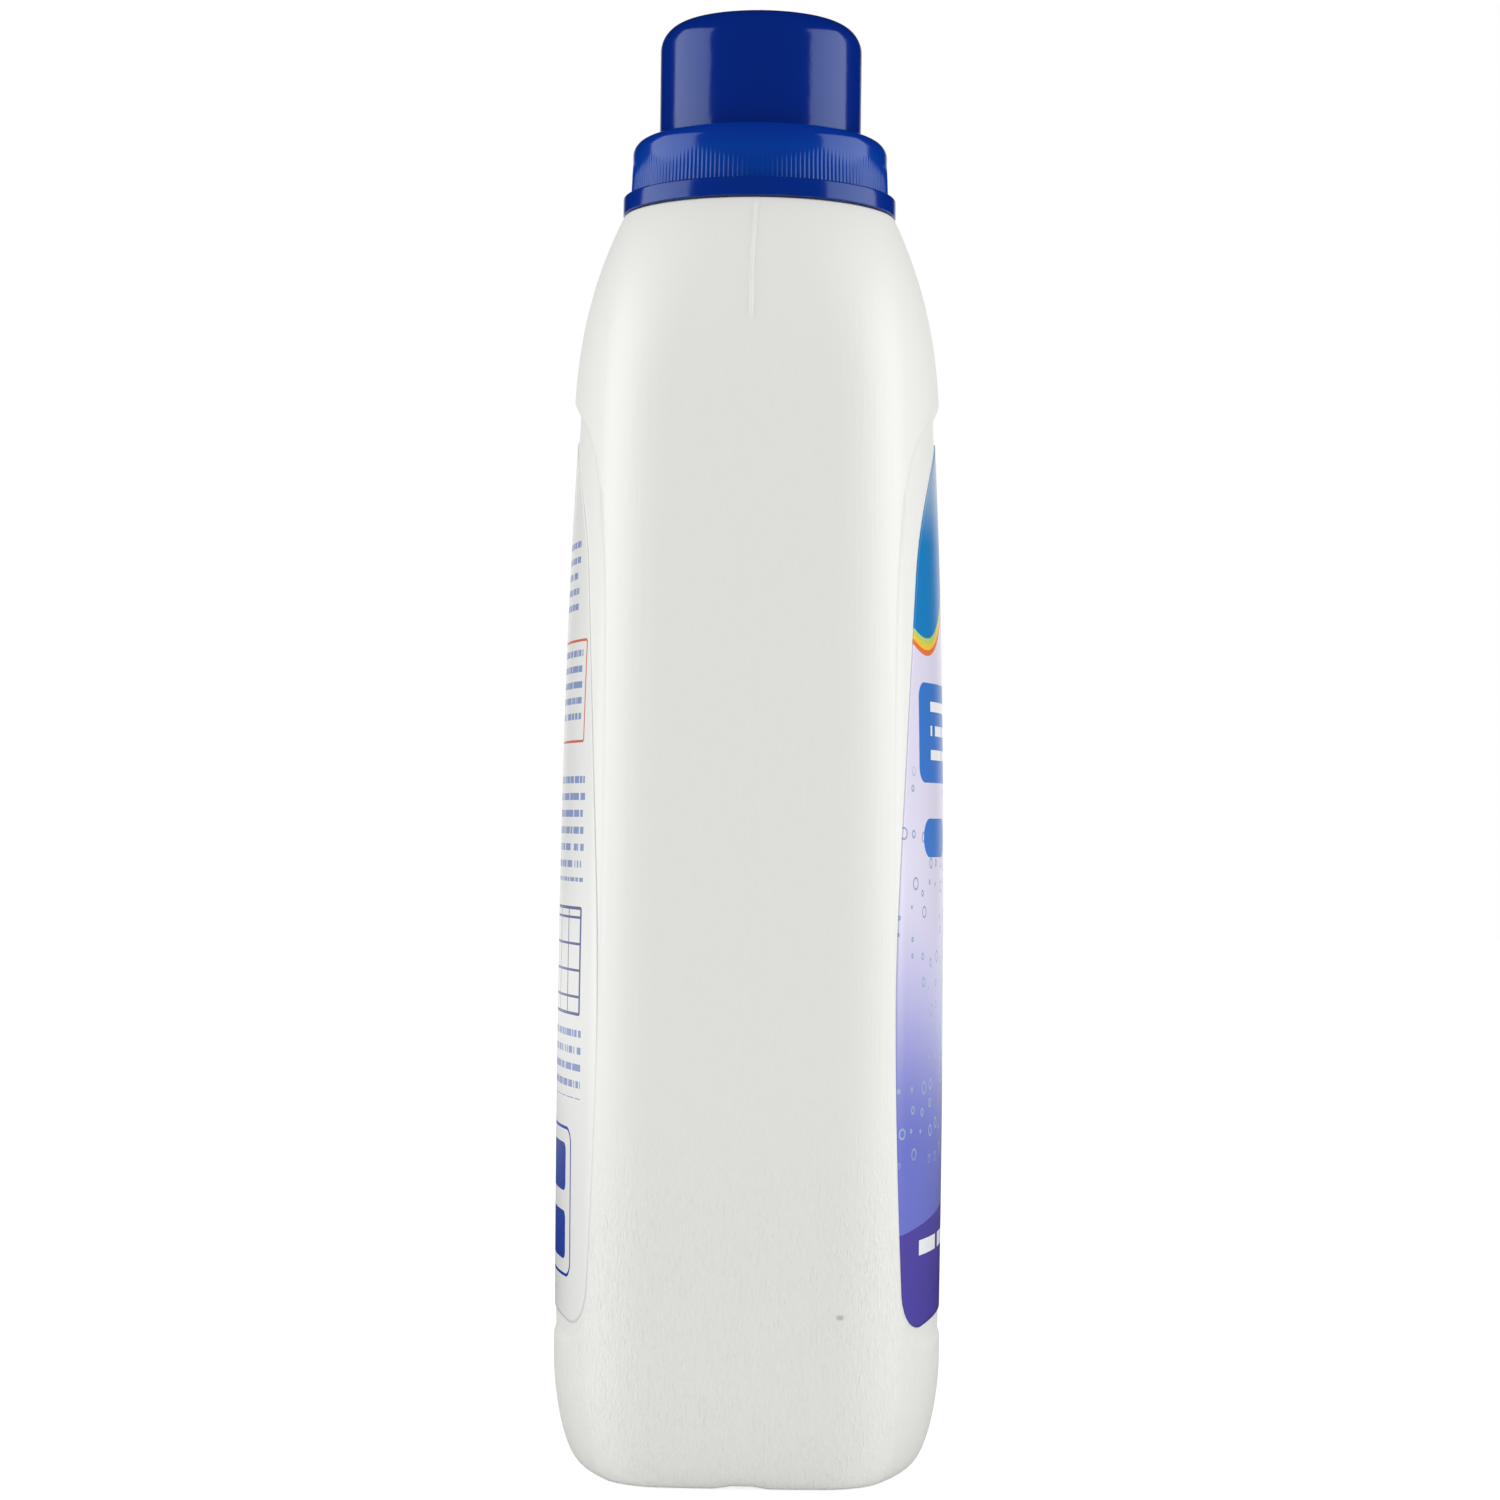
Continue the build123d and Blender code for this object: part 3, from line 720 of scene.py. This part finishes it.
def blend(factor, under, over):
    # over laid on under where the factor is 1
    node = nodeFor("ShaderNodeMix", factor)
    node.data_type = "RGBA"
    feed(node.inputs[0], factor)
    feed(node.inputs[6], under)
    feed(node.inputs[7], over)
    return node.outputs[2]


def noise(vector, scale, detail, roughness=0.5, distortion=0.0):
    node = nodeFor("ShaderNodeTexNoise", vector)
    feedAll(node, Vector=vector, Scale=scale, Detail=detail, Roughness=roughness, Distortion=distortion)
    return node.outputs["Fac"]


def millimetres(tree, stretch=(1.0, 1.0, 1.0)):
    # the object's own coordinates in millimetres, stretched where a grain is longer one way
    place = tree.nodes.new("ShaderNodeTexCoord")
    mapping = tree.nodes.new("ShaderNodeMapping")
    mapping.vector_type = "POINT"
    mapping.inputs["Scale"].default_value = [1000 * v for v in stretch]
    tree.links.new(place.outputs["Object"], mapping.inputs["Vector"])
    return mapping.outputs[0]


def splitVector(vector):
    node = nodeFor("ShaderNodeSeparateXYZ", vector)
    feedRow(node, vector)
    return node.outputs


def joinVector(x, y, z):
    node = nodeFor("ShaderNodeCombineXYZ", x, y, z)
    feedRow(node, x, y, z)
    return node.outputs[0]


def bumpOf(height, distance):
    node = nodeFor("ShaderNodeBump", height)
    feedAll(node, Distance=distance * mm, Strength=1.0, Height=height)
    return node.outputs[0]


def newMaterial(name, roughness, specular=0.5):
    material = bpy.data.materials.new(name)
    material.use_nodes = True
    shader = material.node_tree.nodes["Principled BSDF"]
    shader.inputs["Roughness"].default_value = roughness
    shader.inputs["Specular IOR Level"].default_value = specular
    return material, material.node_tree, shader


def newGroup(name, inputs, outputs):
    tree = bpy.data.node_groups.new(name, "ShaderNodeTree")
    for label in inputs:
        tree.interface.new_socket(label, in_out="INPUT", socket_type="NodeSocketFloat")
    for label in outputs:
        tree.interface.new_socket(label, in_out="OUTPUT", socket_type="NodeSocketFloat")
    return tree, tree.nodes.new("NodeGroupInput").outputs, tree.nodes.new("NodeGroupOutput").inputs


def useGroup(group, *values):
    node = nodeFor("ShaderNodeGroup", *values)
    node.node_tree = group
    feedRow(node, *values)
    return node.outputs


# Print motifs, shared by both labels
motif = dict(rowShift=3.7, wordLevel=0.4, bubbleJitter=0.5, coverScale=0.35)


def roundedBoxGroup():
    # a box with round corners: its distance is the length of the parts beyond the inner box, less the radius
    names = ["X", "Z", "Centre X", "Centre Z", "Half X", "Half Z", "Radius", "Line"]
    tree, given, out = newGroup("roundedBox", names, ["Fill", "Line"])
    beyond = []
    for axis in "XZ":
        off = calc("ABSOLUTE", calc("SUBTRACT", given[axis], given["Centre " + axis]))
        inner = calc("SUBTRACT", given["Half " + axis], given["Radius"])
        beyond.append(calc("MAXIMUM", calc("SUBTRACT", off, inner), 0.0))
    squares = [calc("POWER", part, 2.0) for part in beyond]
    length = calc("SQRT", calc("ADD", *squares))
    distance = calc("SUBTRACT", length, given["Radius"])
    feed(out["Fill"], calc("LESS_THAN", distance, 0.0))
    nearEdge = calc("ABSOLUTE", distance)
    feed(out["Line"], calc("LESS_THAN", nearEdge, calc("MULTIPLY", given["Line"], 0.5)))
    return tree


def barRowsGroup():
    # rows of bars of uneven length inside a rectangle: a bar lies within its share of the row's pitch, and
    # where a noise along the row is above a level
    names = ["X", "Z", "Left", "Right", "Low", "High", "Pitch", "Bar Share", "Grain", "Seed"]
    tree, given, out = newGroup("barRows", names, ["Mask"])
    row = calc("DIVIDE", calc("SUBTRACT", given["High"], given["Z"]), given["Pitch"])
    number = calc("FLOOR", row)
    onBar = calc("LESS_THAN", calc("FRACT", row), given["Bar Share"])
    along = calc("DIVIDE", given["X"], given["Grain"])
    place = joinVector(along, calc("MULTIPLY_ADD", number, motif["rowShift"], given["Seed"]), 0.0)
    masks = [onBar, calc("GREATER_THAN", noise(place, 1.0, 0.0), motif["wordLevel"])]
    for axis, low, high in (("X", "Left", "Right"), ("Z", "Low", "High")):
        masks.append(calc("GREATER_THAN", given[axis], given[low]))
        masks.append(calc("LESS_THAN", given[axis], given[high]))
    feed(out["Mask"], allOf(*masks))
    return tree


def bubblesGroup():
    # rings about scattered points, of uneven size and kept whole: the distance from a cell's point is near
    # the cell's own radius, and a coarse noise read at that point lets the bubble be
    tree, given, out = newGroup("bubbles", ["X", "Z", "Cell", "Ring", "Line", "Cover"], ["Mask"])
    place = joinVector(*[calc("DIVIDE", given[axis], given["Cell"]) for axis in "XZ"], 0.0)
    cells = tree.nodes.new("ShaderNodeTexVoronoi")
    cells.voronoi_dimensions = "2D"
    feedAll(cells, Vector=place, Scale=1.0, Randomness=motif["bubbleJitter"])
    size = calc("MULTIPLY", given["Ring"], splitVector(cells.outputs["Color"])[0])
    off = calc("ABSOLUTE", calc("SUBTRACT", cells.outputs["Distance"], size))
    ring = calc("LESS_THAN", off, given["Line"])
    coarse = noise(cells.outputs["Position"], motif["coverScale"], 1.0)
    there = calc("LESS_THAN", coarse, given["Cover"])
    feed(out["Mask"], allOf(ring, there))
    return tree


roundedBox = roundedBoxGroup()
barRows = barRowsGroup()
bubbles = bubblesGroup()


# Materials. A noise is given as scale, detail, roughness and distortion.
bottleLook = dict(
    colour=(237, 237, 233), roughness=0.4,
    streaks=(0.8, 3.0, 0.6, 0.4), streakStretch=0.03, streakDepth=0.07,
    ripple=(1.9, 1.5, 0.5, 1.2), rippleStretch=0.26, rippleDepth=0.22, rippleTop=84.0, rippleFull=42.0,
    fleck=(120, 120, 118), fleckPlace=(-18.0, 32.4), fleckSize=(1.1, 0.7), fleckEdge=(1.0, 0.3),
    fleckShare=0.45,
)


def bottlePlastic():
    # blown white plastic: long faint streaks all over, and a finer ripple that grows towards the foot
    look = bottleLook
    material, tree, shader = newMaterial("blownPlastic", look["roughness"])
    streaks = noise(millimetres(tree, (1, 1, look["streakStretch"])), *look["streaks"])
    ripple = noise(millimetres(tree, (1, 1, look["rippleStretch"])), *look["ripple"])
    x, y, z = splitVector(millimetres(tree))
    ripple = calc("MULTIPLY", ripple, ramp(z, look["rippleTop"], look["rippleFull"]))
    ripple = calc("MULTIPLY", ripple, look["rippleDepth"] / look["streakDepth"])
    feed(shader.inputs["Normal"], bumpOf(calc("ADD", streaks, ripple), look["streakDepth"]))
    # one small grey fleck in the plastic, low on the -X side: the sum of squares inside an ellipse
    squares = []
    for place, centre, size in zip((y, z), look["fleckPlace"], look["fleckSize"]):
        off = calc("DIVIDE", calc("SUBTRACT", place, centre), size)
        squares.append(calc("MULTIPLY", off, off))
    reach = calc("SQRT", calc("ADD", *squares))
    fleck = ramp(reach, *look["fleckEdge"], 0.0, look["fleckShare"])
    fleck = allOf(fleck, calc("LESS_THAN", x, 0.0))
    feed(shader.inputs["Base Color"], blend(fleck, srgb(*look["colour"]), srgb(*look["fleck"])))
    return material


# The cap's blues by height are painted light and shade: a darker dome over its deep cup, a lighter thin skirt
# over the white neck
capLook = dict(
    foot=(0, 42, 134), skirt=(0, 58, 156), plate=(0, 48, 148), dome=(0, 37, 128),
    skirtEdge=(245.8, 246.0), plateEdge=(251.5, 255.5), domeEdge=(257.1, 257.5),
    roughness=0.14, specular=0.95, tint=(0.6, 0.76, 1.0, 1.0), peel=(0.5, 1.0), peelDepth=0.02,
)


def capPlastic():
    # blue plastic with a blue gloss; its colour steps by height are painted light and shade
    look = capLook
    material, tree, shader = newMaterial("capPlastic", look["roughness"], look["specular"])
    shader.inputs["Specular Tint"].default_value = look["tint"]
    height = splitVector(millimetres(tree))[2]
    # painted shade darkens the dome over its deep cup; painted light makes the thin skirt a lighter blue over
    # the white neck
    colour = srgb(*look["foot"])
    for part in ("skirt", "plate", "dome"):
        colour = blend(ramp(height, *look[part + "Edge"]), colour, srgb(*look[part]))
    feed(shader.inputs["Base Color"], colour)
    peel = noise(millimetres(tree), *look["peel"])
    feed(shader.inputs["Normal"], bumpOf(peel, look["peelDepth"]))
    return material


# In the prints a box is centre x, centre z, half width, half height, corner radius and line; rows of bars are
# left, right, low, high, pitch, bar share, grain and seed; bubbles are cell, ring, half line and cover.
# crest is a painted sheen: a pale blue laid over the top of the blue print
frontLook = dict(
    crest=(150, 178, 208), upper=(20, 128, 196), field=(226, 221, 241), middle=(112, 120, 206),
    band=(84, 74, 166), blue=(58, 122, 208), white=(246, 246, 250), drop=(150, 172, 200),
    oval=(232, 237, 240), ovalFoot=(176, 208, 236), ovalRim=(196, 200, 188),
    stripes=((238, 120, 66), (246, 205, 60), (190, 214, 110)),
    gloss=0.24, waveHeight=165.0, waveRise=7.0, waveLength=30.0, waveShift=8.0, crestSheenFade=(176.0, 190.0),
    fieldFade=(118.0, 62.0), stripeFoot=-2.4, stripeWidth=1.1, bandTop=51.0, bandRise=0.12,
    bubbles=(4.6, 0.25, 0.045, 0.52), bubbleTop=(138.0, 128.0), bubbleFoot=(56.0, 64.0),
    panelBox=(-9.0, 141.0, 19.0, 9.5, 3.0, 0.6), panelBars=(-21.0, 5.5, 135.0, 147.0, 4.6, 0.42, 4.2, 6.5),
    pillBox=(-16.0, 121.0, 9.5, 3.4, 3.4, 0.6), footBars=(-27.0, 26.0, 40.0, 45.0, 5.2, 0.55, 4.0, 9.0),
    ovalBox=(9.0, 88.0, 17.0, 22.0, 17.0, 1.6), ovalFade=(110.0, 68.0), ovalBubbles=(9.5, 0.27, 0.03, 0.85),
)


def printTools(tree, look):
    # the place on the label, a function that lays one of the look's colours where a mask is 1, and one that
    # reads a motif at the place
    x, _, z = splitVector(millimetres(tree))

    def lay(mask, name, under):
        return blend(mask, under, srgb(*look[name]))

    def read(group, *values):
        return useGroup(group, x, z, *values)

    return x, z, lay, read


def frontPrint():
    # fields from the top down: blue under a pale crest that is a painted sheen, a wave of three thin stripes,
    # lilac that turns purple, and a deep purple foot. On them a blue panel with bars, a pill, a pale oval and
    # bubbles.
    look = frontLook
    material, tree, shader = newMaterial("printedFilm", look["gloss"])
    x, z, lay, read = printTools(tree, look)
    along = calc("DIVIDE", calc("ADD", x, look["waveShift"]), look["waveLength"] / math.pi)
    edge = calc("MULTIPLY_ADD", calc("SINE", along), look["waveRise"], look["waveHeight"])
    above = calc("SUBTRACT", z, edge)
    colour = lay(ramp(z, *look["fieldFade"]), "middle", srgb(*look["field"]))
    # painted sheen: the blue field turns pale towards the label's top edge
    upper = lay(ramp(z, *look["crestSheenFade"]), "crest", srgb(*look["upper"]))
    colour = blend(calc("GREATER_THAN", above, 0.0), colour, upper)
    for number, stripe in enumerate(look["stripes"]):
        low = look["stripeFoot"] + look["stripeWidth"] * number
        over = calc("GREATER_THAN", above, low)
        below = calc("LESS_THAN", above, low + look["stripeWidth"])
        colour = blend(allOf(over, below), colour, srgb(*stripe))
    # bubbles between the lilac field and the foot
    ring = read(bubbles, *look["bubbles"])["Mask"]
    zone = allOf(ramp(z, *look["bubbleTop"]), ramp(z, *look["bubbleFoot"]))
    colour = lay(allOf(ring, zone), "drop", colour)
    # blue panel with rows of white bars, and a small pill under it
    colour = lay(read(roundedBox, *look["panelBox"])["Fill"], "blue", colour)
    colour = lay(read(barRows, *look["panelBars"])["Mask"], "white", colour)
    pill = read(roundedBox, *look["pillBox"])
    colour = lay(pill["Fill"], "blue", lay(pill["Line"], "blue", colour))
    # the pale oval with larger bubbles, and its rim
    oval = read(roundedBox, *look["ovalBox"])
    inOval = lay(ramp(z, *look["ovalFade"]), "ovalFoot", srgb(*look["oval"]))
    inOval = lay(read(bubbles, *look["ovalBubbles"])["Mask"], "drop", inOval)
    colour = lay(oval["Line"], "ovalRim", blend(oval["Fill"], colour, inOval))
    # the foot, its upper edge a little aslant, with one row of bars
    slant = calc("MULTIPLY_ADD", x, look["bandRise"], look["bandTop"])
    colour = lay(calc("LESS_THAN", z, slant), "band", colour)
    colour = lay(read(barRows, *look["footBars"])["Mask"], "white", colour)
    feed(shader.inputs["Base Color"], colour)
    return material


backLook = dict(
    film=(236, 237, 234), ink=(142, 158, 202), dark=(28, 66, 168), rule=(214, 112, 96), grid=(92, 98, 150),
    white=(240, 241, 244), gloss=0.26,
    bars=(
        (-22.0, 22.0, 162.0, 177.0, 3.0, 0.42, 1.1, 1.0), (-30.5, 30.5, 112.0, 132.0, 3.2, 0.42, 1.1, 4.0),
        (-31.0, 31.0, 71.0, 84.0, 3.2, 0.42, 1.1, 7.0), (-26.8, 26.8, 141.0, 156.0, 3.0, 0.42, 1.1, 12.0),
    ),
    ruledBox=(0.0, 148.2, 28.8, 9.6, 0.6, 0.5),
    gridBox=(0.0, 97.0, 30.0, 10.0, 0.4, 0.6), gridSteps=(7.5, 5.0), gridLines=(0.07, 0.1),
    outlineBox=(0.0, 51.0, 26.0, 14.0, 3.0, 0.6), panelHeights=(57.5, 44.5), panelBox=(22.5, 4.6, 1.6, 0.5),
    pillMiddle=9.0, pillBox=(8.0, 1.7, 1.7, 0.5),
)


def backPrint():
    # clear film over the white wall: rows of thin bars, a red ruled box round some of them, a small grid, and
    # a blue outlined box with two dark blue panels. The label is seen from +Y, so its left edge is at +X.
    look = backLook
    material, tree, shader = newMaterial("clearFilm", look["gloss"])
    x, z, lay, read = printTools(tree, look)
    colour = srgb(*look["film"])
    for rows in look["bars"]:
        colour = lay(read(barRows, *rows)["Mask"], "ink", colour)
    colour = lay(read(roundedBox, *look["ruledBox"])["Line"], "rule", colour)
    # the grid: a frame, and lines at even steps inside it
    gridBox = read(roundedBox, *look["gridBox"])
    lines = [
        calc("LESS_THAN", calc("FRACT", calc("DIVIDE", place, step)), width)
        for place, step, width in zip((x, z), look["gridSteps"], look["gridLines"])
    ]
    cells = allOf(calc("MAXIMUM", *lines), gridBox["Fill"])
    colour = lay(calc("MAXIMUM", cells, gridBox["Line"]), "grid", colour)
    # the outlined box with its two panels, each with a white pill
    colour = lay(read(roundedBox, *look["outlineBox"])["Line"], "dark", colour)
    for centre in look["panelHeights"]:
        panel = read(roundedBox, 0.0, centre, *look["panelBox"])["Fill"]
        pill = read(roundedBox, look["pillMiddle"], centre, *look["pillBox"])["Fill"]
        colour = lay(pill, "white", lay(panel, "dark", colour))
    feed(shader.inputs["Base Color"], colour)
    return material


def plainPlastic(name, colour, roughness):
    material, _, shader = newMaterial(name, roughness)
    shader.inputs["Base Color"].default_value = srgb(*colour)
    return material


makeBottle(bottlePlastic())
makeLabel("front_label_film", -1, frontPrint())
makeLabel("back_label_film", 1, backPrint())
makeCap(capPlastic())
fittingPlastic = plainPlastic("naturalPlastic", (236, 236, 230), 0.35)
makeSoftened("spout_moulding", "pour_spout", "bottle_body", fittingPlastic, 0.12)
sealFoam = plainPlastic("sealFoam", (242, 242, 238), 0.7)
makeSoftened("seal_washer", "seal_ring", "seal_body", sealFoam, 0.1)


# Studio: white all round for the camera, two large lamps beside the bottle, a plain room round them. The
# room's ranges run from -1, behind the camera, to 1; lamps, floorReach and glowRange are in metres.
studio = dict(
    lampSize=(0.95, 1.25), lampPlace=(-0.075, 0.9, 0.33), lampSpread=140.0, lampEnergy=(3.75, 3.65),
    roomRange=(-0.5, 0.9), roomFront=0.79, roomBack=0.7,
    mirrorRange=(0.9, 0.99), mirrorFront=0.005, mirrorBack=0.95,
    floorReach=3.0, floorDrop=0.2, floorGrey=0.9, floorRoughness=0.9, floorSpecular=0.2,
    floorGlow=0.86, glowRange=(0.2, 1.5), floorShade=0.3,
)


def seenBy(tree):
    # 1 for camera, mirror and glass rays, 0 for the rays that carry the light; and 1 for mirror rays alone
    path = tree.nodes.new("ShaderNodeLightPath")
    seen = calc("MAXIMUM", path.outputs["Is Camera Ray"], path.outputs["Is Transmission Ray"])
    return calc("MAXIMUM", seen, path.outputs["Is Glossy Ray"]), path.outputs["Is Glossy Ray"]


def mixShaders(share, first, second):
    node = nodeFor("ShaderNodeMixShader", share)
    feedRow(node, share, first, second)
    return node.outputs[0]


def placeAlongX(tree, output):
    return splitVector(tree.nodes.new("ShaderNodeTexCoord").outputs[output])[0]


def makeRoom():
    world = bpy.data.worlds.new("studio")
    bpy.context.scene.world = world
    world.use_nodes = True
    world.cycles.sampling_method = "NONE"  # the room is plain, and so gloss sees only what is meant for it
    tree = world.node_tree
    room = tree.nodes["Background"]
    white = tree.nodes.new("ShaderNodeBackground")
    for light in (room, white):
        light.inputs["Color"].default_value = (1, 1, 1, 1)
    forward = placeAlongX(tree, "Generated")
    level = ramp(forward, *studio["roomRange"], studio["roomFront"], studio["roomBack"])
    feed(room.inputs["Strength"], level)
    # gloss shows the white straight behind the bottle and a dim room elsewhere
    seen, glossy = seenBy(tree)
    mirrored = ramp(forward, *studio["mirrorRange"], studio["mirrorFront"], studio["mirrorBack"])
    feed(white.inputs["Strength"], calc("MAXIMUM", mirrored, calc("SUBTRACT", 1.0, glossy)))
    both = mixShaders(seen, room.outputs[0], white.outputs[0])
    feed(tree.nodes["World Output"].inputs["Surface"], both)


def makeLamp(name, side, energy):
    light = bpy.data.lights.new(name, "AREA")
    light.shape = "RECTANGLE"
    light.size, light.size_y = studio["lampSize"]
    light.energy = energy
    light.spread = math.radians(studio["lampSpread"])
    lamp = newObject(name, light)
    x, y, z = studio["lampPlace"]
    lamp.location = (x, side * y, z)
    lamp.rotation_euler = (math.radians(90) * -side, 0, 0)
    lamp.visible_camera = False


def makeFloor():
    floor = bpy.data.meshes.new("floor")
    r = studio["floorReach"]
    floor.from_pydata([(-r, -r, 0), (r, -r, 0), (r, r, 0), (-r, r, 0)], [], [(0, 1, 2, 3)])
    piece = newObject("floor", floor)
    piece.location.z = -studio["floorDrop"] * mm
    material, tree, shader = newMaterial("paleFloor", studio["floorRoughness"], studio["floorSpecular"])
    shader.inputs["Base Color"].default_value = (*[studio["floorGrey"]] * 3, 1)
    # for the camera the floor is mostly its own glow, with enough of the lit floor left to keep the shadow;
    # in gloss the glow fades towards the camera, as the room's does
    seen, glossy = seenBy(tree)
    place = placeAlongX(tree, "Object")
    faded = ramp(place, *studio["glowRange"], studio["mirrorFront"], studio["floorGlow"])
    fall = calc("SUBTRACT", faded, studio["floorGlow"])
    glow = tree.nodes.new("ShaderNodeEmission")
    feed(glow.inputs["Strength"], calc("MULTIPLY_ADD", glossy, fall, studio["floorGlow"]))
    lit = tree.nodes.new("ShaderNodeBsdfDiffuse")
    shade = calc("MULTIPLY", studio["floorShade"], calc("SUBTRACT", 1.0, glossy))
    feed(lit.inputs["Color"], shade)
    shown = tree.nodes.new("ShaderNodeAddShader")
    feedRow(shown, glow.outputs[0], lit.outputs[0])
    both = mixShaders(seen, shader.outputs[0], shown.outputs[0])
    feed(tree.nodes["Material Output"].inputs["Surface"], both)
    floor.materials.append(material)


bpy.context.scene.view_settings.view_transform = "Standard"
makeRoom()
for lampName, lampSide, lampEnergy in zip(("lamp_front", "lamp_back"), (-1, 1), studio["lampEnergy"]):
    makeLamp(lampName, lampSide, lampEnergy)
makeFloor()
print("studio ready")
